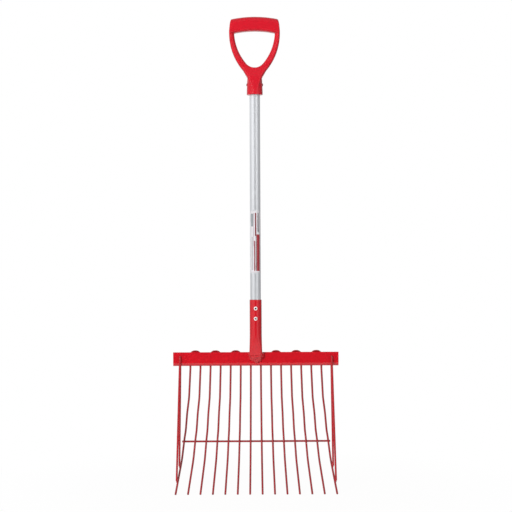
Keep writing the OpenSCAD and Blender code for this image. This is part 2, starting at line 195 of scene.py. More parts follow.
# Tines, guards and cross rod
rod_r = 2.5
rod_y = 17.7
rod_end_round = 1.2
tine_pitch = 25.5
tip_pitch = 31.0
tine_drop = 315.8
basket_back = 26.0
tip_reach = 62.0
tine_lead_h = 7.0
tip_short = 0.5
drop_shares = np.array([tine_lead_h / tine_drop, 0.26, 0.389, 0.527, 0.5876, 0.752, 1.0])
back_shares = np.array([0.0, 0.77, 0.96, 1.0, 0.87, 0.22, -tip_reach / basket_back])
fan_shares = np.array([0.0, 0.131, 0.28, 0.384, 0.469, 0.633, 1.0])
tip_share = 1 - tip_short / tine_drop
heading_share = 0.004
tine_bend_r = 60.0
leg_bend_r = 14.0
hairpin_bend_r = 10.9
pair_count = 7
outer_tine = pair_count - 0.5
tine_row = np.arange(-outer_tine, outer_tine + 1)
flange_row = np.arange(-outer_tine - 1, outer_tine + 2)
cross_share = 0.6106
guard_x = (outer_tine + 1) * tine_pitch
guard_hole_h = 24.4
guard_front = 6.0
guard_kick = 6.0
guard_bend_r = 5.5
guard_inner_share = 0.808
guard_outer_share = 0.9126
guard_side_share = 0.55
guard_step = 1.6

# Welds
weld_gap = 0.2
crossing_drop = (3.6, 2.6, 3.3)
guard_drop = (2.6, 3.0, 3.6)
drop_wave = 0.07
drop_ripple = 0.05
fillet_wave = 0.12
fillet_ripple = 0.06
# Steps of the waves' phase from one drop or fillet to the next, so that no two look alike
crossing_phase = 1.7
guard_phase = 2.1
fillet_phase = 1.3
foot_weld_phase = 2.3
# Fillet round a rod on the flange: way out from the rod and height over the flange
rod_fillet = np.array([(-0.2, 2.6), (0.5, 1.7), (1.4, 0.8), (2.5, 0.05), (-0.2, 0.05)])
# Rows of drops under the socket's foot: count, half width, drop, lift before the bar's face and radius
foot_weld_rows = (
    (11, 15.4, 15.6, 2.4, 5.6),
    (8, 14.2, 10.2, 7.0, 5.8),
    (6, 13.0, 5.0, 10.4, 5.6))
foot_weld_inset = 5.0
foot_weld_start = 4.0  # degrees
foot_weld_stray = 0.7
foot_weld_sizes = (0.86, 1.08)
foot_weld_seed = 11
foot_weld_cut = 40.0

# Meshes: edges past the angle stay sharp, skins are merged on grids and needles under a length taken out
sharp_angle = 40.0  # degrees
grip_voxel = 0.9
grip_soft_passes = 6
weld_voxel = 0.7
weld_soft_passes = 7
soft_factor = 0.5
sliver = 0.02


def unit(v):
    """Vectors of length one along the last axis."""
    return v / np.linalg.norm(v, axis=-1, keepdims=True)


def full_turn(sides):
    """Angles spaced evenly round a full turn."""
    return np.linspace(0, 2 * np.pi, sides, endpoint=False)


def linear(code):
    """An sRGB hex colour as linear red, green and blue, with full alpha."""
    c = np.array([int(code[k:k + 2], 16) for k in (1, 3, 5)]) / 255
    low, high = c / 12.92, ((c + 0.055) / 1.055) ** 2.4
    return (*np.where(c <= 0.04045, low, high).tolist(), 1.0)


# Skins: points and faces worked out as whole arrays
def at_levels(outlines, levels):
    """Rings of flat outlines set at their levels; a single outline serves all levels."""
    levels = np.asarray(levels, dtype=float)
    flat = np.broadcast_to(outlines, (len(levels), *np.shape(outlines)[-2:]))
    return np.concatenate([flat, np.repeat(levels[:, None, None], flat.shape[1], 1)], axis=-1)


def ring_quads(rows, columns):
    """Quads between neighbouring rings of a grid."""
    i = np.arange(rows - 1)[:, None] * columns
    j = np.arange(columns)[None, :]
    k = (j + 1) % columns
    return np.stack([i + j, i + k, i + columns + k, i + columns + j], axis=-1).reshape(-1, 4)


def closed_skin(rings):
    """Points and faces of rings joined in order, with the first and last ring filled."""
    rows, columns = rings.shape[:2]
    faces = ring_quads(rows, columns).tolist()
    faces.append(list(range(columns))[::-1])
    faces.append(list(range((rows - 1) * columns, rows * columns)))
    return rings.reshape(-1, 3), faces


def torus_skin(rings):
    """Points and faces of rings joined in order and the last ring joined to the first."""
    rows, columns = rings.shape[:2]
    faces = ring_quads(rows + 1, columns) % (rows * columns)
    return rings.reshape(-1, 3), faces.tolist()


def joined(parts):
    """Several lists of points and faces as one."""
    points, faces, start = [], [], 0
    for part_points, part_faces in parts:
        points.append(part_points)
        faces.extend([[v + start for v in face] for face in part_faces])
        start += len(part_points)
    return np.concatenate(points), faces


def revolved(profile, sides=96, closed=False):
    """A profile of radius and height turned about the Z axis; closed joins its ends, as on a tube."""
    r, z = np.array(profile, dtype=float).T
    a = full_turn(sides)
    rings = at_levels(r[:, None, None] * np.stack([np.cos(a), np.sin(a)], axis=-1), z)
    return torus_skin(rings) if closed else closed_skin(rings)


def box_outline(w, d, r, low_r=None, steps=8):
    """A rectangle with round corners, as points across and along, counted round from one corner's arc; the
    two low corners can have their own radius."""
    a = np.linspace(0, np.pi / 2, steps)
    corner = np.stack([np.cos(a), np.sin(a)], axis=-1)
    turns = [np.array([[c, -s], [s, c]]) for c, s in ((1, 0), (0, 1), (-1, 0), (0, -1))]
    signs = np.array([[1, 1], [-1, 1], [-1, -1], [1, -1]])
    low_r = r if low_r is None else low_r
    return np.concatenate([(corner * k) @ t.T + sign * (np.array([w, d]) / 2 - k)
                           for t, sign, k in zip(turns, signs, (r, r, low_r, low_r))])


def lofted_box(sections, rows=40):
    """Rounded rectangles across Z whose width, depth and corner run evenly between the given sections."""
    z, w, d, r = np.array(sections).T
    levels = np.linspace(z[0], z[-1], rows)
    sizes = [np.interp(-levels, -z, values) for values in (w, d, r)]
    return closed_skin(at_levels(np.stack([box_outline(*size) for size in zip(*sizes)]), levels))


def rounded_path(corners, radii, turn_step=0.07):
    """Straight runs through the corners, with each inner corner turned on an arc of its radius."""
    corners = np.asarray(corners, dtype=float)
    runs = [corners[:1]]
    for k in range(1, len(corners) - 1):
        u = unit(corners[k] - corners[k - 1])
        v = unit(corners[k + 1] - corners[k])
        turn = math.acos(max(-1.0, min(1.0, float(u @ v))))
        inward = unit(v - (u @ v) * u)
        centre = corners[k] - radii[k] * math.tan(turn / 2) * u + radii[k] * inward
        a = np.linspace(0, turn, 2 + int(turn / turn_step))[:, None]
        runs.append(centre + radii[k] * (np.sin(a) * u - np.cos(a) * inward))
    runs.append(corners[-1:])
    return np.concatenate(runs)


def rod_skin(path, side_axis, sides=20, step=2.4):
    """A round rod along a path: rings square to the heading at even stations, closer together at the ends,
    where the radius falls on a quarter circle."""
    lengths = np.concatenate([[0], np.cumsum(np.linalg.norm(np.diff(path, axis=0), axis=1))])
    total = lengths[-1]
    near_end = rod_end_round * (1 - np.cos(np.linspace(0, np.pi / 2, 6)))
    along = np.linspace(rod_end_round, total - rod_end_round, int(total / step))[1:-1]
    s = np.concatenate([near_end, along, total - near_end[::-1]])
    place = np.stack([np.interp(s, lengths, path[:, k]) for k in range(3)], axis=-1)
    heading = unit(np.gradient(place, s, axis=0))
    side = unit(np.cross(heading, side_axis))
    other = np.cross(side, heading)
    from_end = np.clip(np.minimum(s, total - s) / rod_end_round, 0, 1)
    r = rod_r - rod_end_round * (1 - np.sqrt(np.clip(1 - (1 - from_end) ** 2, 0, 1)))
    a = full_turn(sides)[None, :, None]
    ring = np.cos(a) * side[:, None] + np.sin(a) * other[:, None]
    return closed_skin(place[:, None] + r[:, None, None] * ring)


# Mesh objects
def new_mesh(name, points, faces):
    """A mesh object of points in millimetres, smooth but for its sharp edges."""
    mesh = bpy.data.meshes.new(name)
    mesh.from_pydata((np.asarray(points) * MM).tolist(), [], faces)
    mesh.validate()
    obj = bpy.data.objects.new(name, mesh)
    bpy.context.scene.collection.objects.link(obj)
    finish_shading(mesh)
    return obj


def finish_shading(mesh):
    """Outward normals, smooth faces, and sharp edges past the angle."""
    work = bmesh.new()
    work.from_mesh(mesh)
    bmesh.ops.recalc_face_normals(work, faces=work.faces)
    work.to_mesh(mesh)
    work.free()
    mesh.polygons.foreach_set("use_smooth", np.ones(len(mesh.polygons), dtype=bool))
    mesh.set_sharp_from_angle(angle=math.radians(sharp_angle))


def merge_on_grid(obj, voxel):
    """Makes one skin of overlapping ones, on a grid of the given pitch."""
    merge = obj.modifiers.new("merge", "REMESH")
    merge.mode = "VOXEL"
    merge.voxel_size = voxel * MM


def soften(obj, passes):
    """Rounds the corners where merged skins meet."""
    soft = obj.modifiers.new("soften", "SMOOTH")
    soft.factor = soft_factor
    soft.iterations = passes


def bake_modifiers(obj):
    """Replaces the object's mesh by what its modifiers make of it."""
    depsgraph = bpy.context.evaluated_depsgraph_get()
    mesh = bpy.data.meshes.new_from_object(obj.evaluated_get(depsgraph))
    obj.modifiers.clear()
    obj.data = mesh
    finish_shading(mesh)


def cut(obj, *cutters):
    """Takes the cutters' solids out of the object."""
    for cutter in cutters:
        change = obj.modifiers.new("cut", "BOOLEAN")
        change.operation = "DIFFERENCE"
        change.solver = "EXACT"
        change.object = cutter
    bake_modifiers(obj)
    for cutter in cutters:
        bpy.data.objects.remove(cutter)


def drop_slivers(mesh):
    """Splits the faces to triangles and takes out the needles that a cut can leave."""
    work = bmesh.new()
    work.from_mesh(mesh)
    bmesh.ops.remove_doubles(work, verts=work.verts, dist=sliver * MM)
    bmesh.ops.triangulate(work, faces=work.faces)
    bmesh.ops.dissolve_degenerate(work, edges=work.edges, dist=sliver * MM)
    work.to_mesh(mesh)
    work.free()
    finish_shading(mesh)


def settle(obj, material, slot, *nodes):
    """Gives a piece its finish and its body, and hides the frame's solids that it stands for."""
    obj.data.materials.clear()
    obj.data.materials.append(material)
    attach(obj, "root")
    if nodes:
        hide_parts(*nodes)


# Finishes
def shader(tree, kind, inputs=None, **settings):
    """Adds a node with its settings, and sets or links its inputs."""
    made = tree.nodes.new(kind)
    for key, value in settings.items():
        setattr(made, key, value)
    for key, value in (inputs or {}).items():
        if isinstance(value, bpy.types.NodeSocket):
            tree.links.new(value, made.inputs[key])
        else:
            made.inputs[key].default_value = value
    return made


def new_material(name):
    """An empty node material with its output, and the piece's own coordinates."""
    material = bpy.data.materials.new(name)
    material.use_nodes = True
    tree = material.node_tree
    tree.nodes.clear()
    output = tree.nodes.new("ShaderNodeOutputMaterial")
    coords = tree.nodes.new("ShaderNodeTexCoord").outputs["Object"]
    return material, tree, output, coords


def per_metre(size):
    """The scale of a pattern whose marks are this many millimetres apart."""
    return 1 / (size * MM)


def red_moulded_plastic():
    """Polypropylene moulded in a fine spark-eroded tool: even red, satin, with a soft broad highlight."""
    material, tree, output, coords = new_material("red moulded polypropylene")
    # Pigment drifts over about 45 mm
    cloud = shader(tree, "ShaderNodeTexNoise", {"Vector": coords, "Scale": per_metre(45.45), "Detail": 3.0})
    tone = shader(tree, "ShaderNodeMix", {0: cloud.outputs[0], 6: linear("#cf0f25"), 7: linear("#cb0e23")},
                  data_type="RGBA")
    # Spark texture is about 0.3 mm; drawn at 0.9 mm so that it shows
    grain = shader(tree, "ShaderNodeTexNoise", {"Vector": coords, "Scale": per_metre(0.909), "Detail": 2.0})
    bump = shader(tree, "ShaderNodeBump", {
        "Height": grain.outputs[0], "Strength": 0.05, "Distance": 0.2 * MM})
    gloss = shader(tree, "ShaderNodeMapRange", {0: grain.outputs[0], 3: 0.27, 4: 0.32})
    plastic_skin = shader(tree, "ShaderNodeBsdfPrincipled", {
        "Base Color": tone.outputs[2], "Roughness": gloss.outputs[0], "IOR": 1.49,
        "Specular IOR Level": 0.3, "Normal": bump.outputs[0]})
    tree.links.new(plastic_skin.outputs[0], output.inputs[0])
    return material


def red_powder_coat(name, light, dark):
    """Polyester powder coat baked on steel: full red, glossy, with a faint orange peel."""
    material, tree, output, coords = new_material(name)
    # The coat's thickness drifts over about 33 mm
    cloud = shader(tree, "ShaderNodeTexNoise", {"Vector": coords, "Scale": per_metre(33.33), "Detail": 3.0})
    tone = shader(tree, "ShaderNodeMix", {0: cloud.outputs[0], 6: linear(light), 7: linear(dark)},
                  data_type="RGBA")
    # Orange peel runs at about 1.5 mm
    peel = shader(tree, "ShaderNodeTexNoise", {"Vector": coords, "Scale": per_metre(1.515), "Detail": 1.5})
    bump = shader(tree, "ShaderNodeBump", {
        "Height": peel.outputs[0], "Strength": 0.03, "Distance": 0.3 * MM})
    gloss = shader(tree, "ShaderNodeMapRange", {0: peel.outputs[0], 3: 0.13, 4: 0.18})
    paint = shader(tree, "ShaderNodeBsdfPrincipled", {
        "Base Color": tone.outputs[2], "Roughness": gloss.outputs[0], "IOR": 1.5,
        "Specular IOR Level": 0.6, "Normal": bump.outputs[0]})
    tree.links.new(paint.outputs[0], output.inputs[0])
    return material


def drawn_aluminium():
    """Aluminium tube drawn through a die: pale grey, with fine lines along it and soft long reflections."""
    material, tree, output, coords = new_material("drawn aluminium tube")
    # Draw lines are some 0.8 mm apart with finer ones between, and 250 times as long
    along = shader(tree, "ShaderNodeMapping", {"Vector": coords, "Scale": (1.0, 1.0, 1 / 250)})
    lines = shader(tree, "ShaderNodeTexNoise", {
        "Vector": along.outputs[0], "Scale": per_metre(0.8333), "Detail": 3.0})
    # The tone drifts over about 110 mm
    cloud = shader(tree, "ShaderNodeTexNoise", {"Vector": coords, "Scale": per_metre(111.1), "Detail": 2.0})
    tone = shader(tree, "ShaderNodeMix", {0: cloud.outputs[0], 6: linear("#e4e6e9"), 7: linear("#dee0e4")},
                  data_type="RGBA")
    bump = shader(tree, "ShaderNodeBump", {
        "Height": lines.outputs[0], "Strength": 0.04, "Distance": 0.2 * MM})
    gloss = shader(tree, "ShaderNodeMapRange", {0: lines.outputs[0], 3: 0.42, 4: 0.5})
    metal = shader(tree, "ShaderNodeBsdfPrincipled", {
        "Base Color": tone.outputs[2], "Metallic": 1.0, "Roughness": gloss.outputs[0],
        "Normal": bump.outputs[0]})
    tree.links.new(metal.outputs[0], output.inputs[0])
    return material


def fastener_with_painted_light(name, light, dark, rough_low, rough_high):
    """A headed fastener in a flat tone instead of the metal's own shine: the highlight, reflection and shade
    on it are painted into two near tones in the pressed grain, with the gloss varying with it."""
    material, tree, output, coords = new_material(name)
    # Pressed grain of about 0.5 mm
    grain = shader(tree, "ShaderNodeTexNoise", {"Vector": coords, "Scale": per_metre(0.5), "Detail": 3.0})
    tone = shader(tree, "ShaderNodeMix", {0: grain.outputs[0], 6: linear(light), 7: linear(dark)},
                  data_type="RGBA")
    gloss = shader(tree, "ShaderNodeMapRange", {0: grain.outputs[0], 3: rough_low, 4: rough_high})
    bump = shader(tree, "ShaderNodeBump", {
        "Height": grain.outputs[0], "Strength": 0.08, "Distance": 0.1 * MM})
    coat = shader(tree, "ShaderNodeBsdfPrincipled", {
        "Base Color": tone.outputs[2], "Roughness": gloss.outputs[0], "Normal": bump.outputs[0]})
    tree.links.new(coat.outputs[0], output.inputs[0])
    return material


def printed_film():
    """Printed polypropylene film: a pale, smooth ground with flat upright bars and blocks in a few inks."""
    material, tree, output, coords = new_material("printed polypropylene film")
    axes = shader(tree, "ShaderNodeSeparateXYZ", {0: coords})
    tone = linear("#d8d5d9")
    for x, half_w, z, half_h, ink in label_blocks:
        across = shader(tree, "ShaderNodeMath", {0: axes.outputs[0], 1: x * MM, 2: half_w * MM},
                        operation="COMPARE")
        along = shader(tree, "ShaderNodeMath", {0: axes.outputs[2], 1: z * MM, 2: half_h * MM},
                       operation="COMPARE")
        inside = shader(tree, "ShaderNodeMath", {0: across.outputs[0], 1: along.outputs[0]},
                        operation="MULTIPLY")
        printed = shader(tree, "ShaderNodeMix", {0: inside.outputs[0], 6: tone, 7: linear(ink)},
                         data_type="RGBA")
        tone = printed.outputs[2]
    # Film stretched on the tube lies in waves of about 8 mm
    wave = shader(tree, "ShaderNodeTexNoise", {"Vector": coords, "Scale": per_metre(8.333), "Detail": 1.0})
    gloss = shader(tree, "ShaderNodeMapRange", {0: wave.outputs[0], 3: 0.3, 4: 0.42})
    film = shader(tree, "ShaderNodeBsdfPrincipled", {
        "Base Color": tone, "Roughness": gloss.outputs[0], "IOR": 1.49})
    tree.links.new(film.outputs[0], output.inputs[0])
    return material


plastic = red_moulded_plastic()
powder_coat = red_powder_coat("red powder coat on sheet steel", "#cf0b1e", "#c6081a")
# Darker copies of the one red coat on the rods, as painted shade: deepest on the tines, less on the guards
shaded_rod_coat = red_powder_coat("red rod coat darkened as painted shade", "#a20b18", "#960915")
shaded_guard_coat = red_powder_coat("red guard coat darkened as painted shade", "#b80d1c", "#ae0b19")
aluminium = drawn_aluminium()
label_film = printed_film()
# Bare aluminium rivet heads: their bright shine, tinted by the red round them, is painted as a pale pinkish
# tone
rivet_painted_shine = fastener_with_painted_light("aluminium rivet with painted pale shine", "#f8efee", "#f3e8e7", 0.45, 0.55)
# Dark steel pins, painted near black as the shade down the rivets' holes
pin_painted_shade = fastener_with_painted_light("steel pin with painted shade", "#1f1819", "#161112", 0.6, 0.7)
# Steel cross rivet: the grip's red is painted on its heads, darkened, as painted reflection and shade
rivet_painted_red_shade = fastener_with_painted_light("steel rivet with painted red reflection", "#a31a25", "#951620", 0.4, 0.5)


# The D-grip: hand bar, arms, web and cone overlap, are merged on a fine grid and softened where they meet
def hand_bar_skin():
    """The hand bar: a rounded rectangle carried from end to end and lifted to an arc; its length at each
    height is the chord of a circle that carries on the arms' outer curve, and its ends are rounded as on a
    ball."""
    near_end = hand_bar_end_round * (1 - np.cos(np.linspace(0, np.pi / 2, 8)))
    from_end = np.concatenate([near_end, np.linspace(hand_bar_end_round, grip_half, 40)[1:]])
    bite = hand_bar_end_round - np.clip(from_end, 0, hand_bar_end_round)
    inset = hand_bar_end_round - np.sqrt(hand_bar_end_round ** 2 - bite ** 2)
    share = 1 - from_end / grip_half
    share = np.concatenate([-share, share[-2::-1]])
    inset = np.concatenate([inset, inset[-2::-1]])
    outlines = np.stack([
        box_outline(hand_bar_d - 2 * i, hand_bar_h - 2 * i, hand_bar_round - i, hand_bar_low_round - i)
        for i in inset])
    y, height = outlines[..., 0], outlines[..., 1] + hand_bar_h / 2
    end_z = np.sqrt((hand_bar_r + height) ** 2 - grip_half ** 2) - hand_bar_r
    reach = grip_half - hand_bar_end_r + np.sqrt(hand_bar_end_r ** 2 - (end_z - arm_outer_wide_z) ** 2)
    x = share[:, None] * reach
    return closed_skin(np.stack([x, y, np.sqrt((hand_bar_r + height) ** 2 - x ** 2) - hand_bar_r], axis=-1))


def arm_skin(side):
    """An arm: level rounded rectangles between an inner and an outer arc of different radii; towards the
    opening they get thinner by a square law, which fades out down to the web."""
    z = np.linspace(arm_end_z, arm_top_z, 70)
    inner = arm_inner_half - arm_inner_r + np.sqrt(arm_inner_r ** 2 - (z - arm_inner_wide_z) ** 2)
    outer = grip_half - arm_outer_r + np.sqrt(arm_outer_r ** 2 - (z - arm_outer_wide_z) ** 2)
    outlines = np.stack([box_outline(w, arm_d, arm_round) for w in outer - inner])
    x = outlines[..., 0] + ((inner + outer) / 2)[:, None]
    inward = 0.5 - outlines[..., 0] / (outer - inner)[:, None]
    thin = arm_thin_share * np.clip((z + opening_h) / arm_thin_fade_h, 0, 1)
    y = outlines[..., 1] * (1 - thin[:, None] * inward ** 2)
    return closed_skin(at_levels(np.stack([side * x, y], axis=-1), z))


def make_grip():
    """The grip: hand bar, arms, web and cone merged on a fine grid, cut round under the opening, merged again
    and softened; then the bore, the open end and the flats under the cross rivet's heads are cut sharp."""
    parts = [hand_bar_skin(), arm_skin(1), arm_skin(-1), lofted_box(web_sections), revolved(cone_profile)]
    grip = new_mesh("grip", *joined(parts))
    points, faces = revolved(((opening_r, -opening_cut_d), (opening_r, opening_cut_d)))
    opening = new_mesh("opening", points[:, ALONG_Y] + [0, 0, opening_r - opening_h], faces)
    merge_on_grid(grip, grip_voxel)
    cut(grip, opening)
    merge_on_grid(grip, grip_voxel)
    soften(grip, grip_soft_passes)
    bake_modifiers(grip)
    bore_profile = ((bore_r, shaft_high[2]), (bore_r, grip_end_z),
                    (clear_r, grip_end_z), (clear_r, grip_end_z - clear_h))
    bore = new_mesh("bore", *revolved(bore_profile))
    points, faces = revolved(((spot_r, 0.0), (spot_r, spot_cut_d)), sides=64)
    spots = [new_mesh("spot", points[:, ALONG_X] * [side, 1, 1] + [side * cross_seat, 0, pin_z], faces)
             for side in (-1, 1)]
    cut(grip, bore, *spots)
    drop_slivers(grip.data)
    settle(grip, plastic, "grip_plastic", "grip")


def make_grip_rivet():
    """The cross rivet: a shank and two low domed heads, each a cap of a ball, turned about the X axis."""
    head_r = spot_r - bore_gap
    dome_r = (head_r ** 2 + pin_head_h ** 2) / (2 * pin_head_h)
    dome_middle = cross_seat + pin_head_h - dome_r
    a = np.linspace(math.asin(head_r / dome_r), pin_pole_angle, 14)
    dome = np.stack([dome_r * np.sin(a), dome_middle + dome_r * np.cos(a)], axis=-1)
    half = np.concatenate([[(pin_shank_r, cross_seat)], dome])
    points, faces = revolved(np.concatenate([half[::-1] * [1, -1], half]), sides=48)
    rivet = new_mesh("grip_rivet", points[:, ALONG_X] + [0, 0, pin_z], faces)
    settle(rivet, rivet_painted_red_shade, "steel_pin", "grip_rivet")


# Shaft, label and socket
def make_shaft():
    """The shaft tube: an outer and an inner wall with broken edges, turned about the Z axis."""
    low, high, inner_r = shaft_low[2], shaft_high[2], shaft_r - shaft_wall
    profile = [(shaft_r - shaft_edge, high)]
    profile += [(shaft_r, z) for z in np.linspace(high - shaft_edge, low + shaft_edge, 60)]
    profile += [(shaft_r - shaft_edge, low), (inner_r + shaft_edge, low), (inner_r, low + shaft_edge),
                (inner_r, high - shaft_edge), (inner_r + shaft_edge, high)]
    tube = new_mesh("shaft", *revolved(profile, sides=128, closed=True))
    settle(tube, aluminium, "tube", "shaft")


def make_label():
    """The label: a thin film bent round the front of the shaft, its two faces arcs about the Z axis."""
    a = np.radians(np.linspace(-label_turn, label_turn, 60))
    arc = np.stack([np.sin(a), -np.cos(a)], axis=-1)
    inner_r = shaft_r + label_lift
    edge = np.concatenate([arc * (inner_r + label_t), (arc * inner_r)[::-1]])
    rings = at_levels(edge, np.linspace(label_low_z, label_top_z, 30))
    settle(new_mesh("label", *closed_skin(rings)), label_film, "tube")


def socket_rings(levels, inset):
    """Rings of the socket's wall: superellipses whose half width and half depth run from the tube's radius to
    the foot's by a power of the way down the taper, and whose corners square up along it."""
    a = full_turn(128)
    levels = np.atleast_1d(levels)
    t = np.clip((socket_taper_z - levels) / (socket_taper_z - socket_low[2]), 0, 1)[:, None] ** taper_power
    half_w = socket_r + (foot_half_w - socket_r) * t - inset
    half_d = socket_r + (foot_half_d - socket_r) * t - inset
    power = 2 / (2 + foot_squareness * t)
    x = half_w * np.sign(np.cos(a)) * np.abs(np.cos(a)) ** power
    y = half_d * np.sign(np.sin(a)) * np.abs(np.sin(a)) ** power + foot_mid_y * t
    return at_levels(np.stack([x, y], axis=-1), levels)


def make_socket():
    """The steel socket: a round tube pressed to a flat, closed foot, made of one row of rings that runs up
    the inner wall, over the rim and down the outer wall to the foot."""
    top, low = socket_high[2], socket_low[2]
    wall = socket_r - bore_r
    inner = np.append(np.linspace(low + foot_floor_t, socket_taper_z, 30), top - socket_edge)
    outer = np.concatenate([[top - socket_edge], np.linspace(top - socket_rim_h, socket_taper_z, 30),
                            np.linspace(socket_taper_z - taper_lead_h, low + foot_round, 50)])
    rim = [socket_rings(top, wall - socket_edge), socket_rings(top, socket_edge)]
    foot = [socket_rings(low + foot_edge, foot_edge), socket_rings(low, foot_round)]
    rings = [socket_rings(inner, wall), *rim, socket_rings(outer, 0.0), *foot]
    settle(new_mesh("socket", *closed_skin(np.concatenate(rings))), powder_coat, "red_paint", "socket")


def rivet_skin(z):
    """A blind rivet: rings from the hole over the domed front to the rim, which follows the round socket, and
    back inside to the hole's inner end."""
    a = full_turn(64)
    reach, height = rivet_front.T[..., None]
    front = np.stack([reach * np.cos(a), np.repeat(-socket_r - height, len(a), 1),
                      z + reach * np.sin(a)], axis=-1)
    rim_x, rim_z = rivet_head_r * np.cos(a), z + rivet_head_r * np.sin(a)
    on_socket = -np.sqrt(socket_r ** 2 - rim_x ** 2)
    rim = [np.stack([rim_x, on_socket + lift, rim_z], axis=-1) for lift in (-rivet_rim_t, rivet_rim_sunk)]
    core = np.stack([rivet_hole_r * np.cos(a), np.full_like(a, rivet_core_d - socket_r),
                     z + rivet_hole_r * np.sin(a)], axis=-1)
    return torus_skin(np.concatenate([front, rim, core[None]]))


def mandrel_skin(z):
    """The broken pin in a rivet: a shank with a blunt edge and a shallow pit, turned about the Y axis."""
    r = rivet_hole_r - mandrel_play
    tip = socket_r + rivet_flange_h - mandrel_sunk
    points, faces = revolved(((r, mandrel_inner_end), (r, tip - mandrel_edge_h), (r - mandrel_edge_w, tip),
                              (mandrel_pit_r, tip - mandrel_pit_d)), sides=32)
    return points[:, ALONG_Y] * [1, -1, 1] + [0, 0, z], faces


def make_rivets():
    """The two blind rivets at their levels, and the pins inside them."""
    bodies = joined([rivet_skin(z) for z in rivet_levels])
    mandrels = joined([mandrel_skin(z) for z in rivet_levels])
    settle(new_mesh("rivet_bodies", *bodies), rivet_painted_shine, "rivet", "rivet_bodies")
    settle(new_mesh("rivet_mandrels", *mandrels), pin_painted_shade, "steel_pin", "rivet_mandrels")


# Head
def make_head_bar():
    """The bar: a sheet folded on a round bend, its outline carried along X, with holes for the rods."""
    front, back, low, top = bar_low[1], bar_high[1], bar_low[2], bar_high[2]
    outer_r = bar_fold_r + bar_t
    middle = np.array([front + outer_r, low + outer_r])
    a = np.linspace(np.pi, 1.5 * np.pi, 14)
    bend = np.stack([np.cos(a), np.sin(a)], axis=-1)
    outline = np.concatenate([[[front, top]], middle + outer_r * bend, [[back, low], [back, low + bar_t]],
                              (middle + bar_fold_r * bend)[::-1], [[front + bar_t, top]]])
    rings = at_levels(outline, (bar_low[0], bar_high[0]))[..., LEVELS_TO_X]
    bar = new_mesh("head_bar", *closed_skin(rings))
    broken = bar.modifiers.new("broken edges", "BEVEL")
    broken.width = bar_edge * MM
    broken.segments = 2
    broken.limit_method = "ANGLE"
    broken.angle_limit = math.radians(bar_edge_angle)
    bake_modifiers(bar)
    points, faces = revolved(((rod_hole_r, -hole_below), (rod_hole_r, hole_above)), sides=32)
    holes = [(points + [i * tine_pitch, rod_y, low], faces) for i in flange_row]
    holes += [(points[:, ALONG_Y] + [side * guard_x, front, low + guard_hole_h], faces) for side in (-1, 1)]
    cut(bar, new_mesh("holes", *joined(holes)))
    # Weighing the normals by area keeps the shading of the flats even
    bar.modifiers.new("even flats", "WEIGHTED_NORMAL").keep_sharp = True
    settle(bar, powder_coat, "red_paint", "head_bar")


# Tines, guards and cross rod are round rods on rounded paths
def tine_place(i, share):
    """The middle of tine i of the row at a share of the drop below the bar; its fan and its depth run evenly
    from station to station."""
    fan = np.interp(share, drop_shares, fan_shares)
    back = np.interp(share, drop_shares, back_shares)
    x = i * (tine_pitch + fan * (tip_pitch - tine_pitch))
    y = rod_y + back * basket_back
    return np.stack(np.broadcast_arrays(x, y, bar_low[2] - share * tine_drop), axis=-1)


def tine_heading(i, share):
    """The downward heading of tine i at a share of the drop, between two places close above and below."""
    return unit(tine_place(i, share + heading_share) - tine_place(i, share - heading_share))


def make_tine_pairs():
    """Hairpins: up one tine's stations, over a half-round bend above the bar and down the next tine's."""
    stations = np.append(drop_shares[:-1], tip_share)
    leg = [0] + [tine_bend_r] * (len(drop_shares) - 2) + [leg_bend_r]
    top = hairpin_top_z - rod_r
    for k in range(pair_count):
        first = tine_row[2 * k]
        up = tine_place(first, stations[::-1])
        over = np.array([[first * tine_pitch, rod_y, top], [(first + 1) * tine_pitch, rod_y, top]])
        down = tine_place(first + 1, stations)
        path = rounded_path(np.concatenate([up, over, down]), leg + [hairpin_bend_r] * 2 + leg[::-1])
        name = "tine_pair_%d" % (k + 1)
        settle(new_mesh(name, *rod_skin(path, Y_AXIS)), shaded_rod_coat, "red_paint", name)


def guard_end(share):
    """Where a guard's leg ends: one rod and a gap from the outer tine, square to it, beside and before it."""
    heading = tine_heading(outer_tine, share)
    away = unit(np.array([guard_side_share, -1.0, 0.0]))
    return tine_place(outer_tine, share) + (2 * rod_r + weld_gap) * unit(away - (away @ heading) * heading)


def make_side_guards():
    """Guards: up one leg, over through the bar's front hole and down the other leg; the left is mirrored."""
    hole_z = bar_low[2] + guard_hole_h
    path = rounded_path([guard_end(guard_inner_share), [guard_x, rod_y, bar_low[2] - guard_kick],
                         [guard_x, rod_y, hole_z], [guard_x, bar_low[1] - guard_front, hole_z],
                         guard_end(guard_outer_share)], [0, leg_bend_r, guard_bend_r, guard_bend_r, 0])
    points, faces = rod_skin(path, X_AXIS, step=guard_step)
    for name, side in (("side_guard_right", 1), ("side_guard_left", -1)):
        settle(new_mesh(name, points * [side, 1, 1], faces), shaded_guard_coat, "red_paint", name)


def make_cross_rod():
    """The cross rod: a straight rod along X behind the tines."""
    half = np.array([cross_high[0], 0, 0])
    rod = new_mesh("cross_rod", *rod_skin(np.stack([cross_middle - half, cross_middle + half]), Y_AXIS))
    settle(rod, shaded_rod_coat, "red_paint", "cross_rod")


# Welds
def weld_drop(centre, radii, phase, pole=0.02, rows=14, columns=24):
    """A drop of weld metal: a ball whose radius swells and dips by a few waves round it and down it."""
    v = np.linspace(pole, np.pi - pole, rows)[:, None]
    u = full_turn(columns)[None, :]
    swell = 1 + drop_wave * np.sin(3 * u + phase) * np.sin(2 * v)
    swell = swell + drop_ripple * np.cos(5 * u - 2 * phase + 3 * v)
    ball = np.stack([np.sin(v) * np.cos(u), np.sin(v) * np.sin(u), np.cos(v) + 0 * u], axis=-1)
    return closed_skin(np.array(centre) + swell[..., None] * ball * np.array(radii))


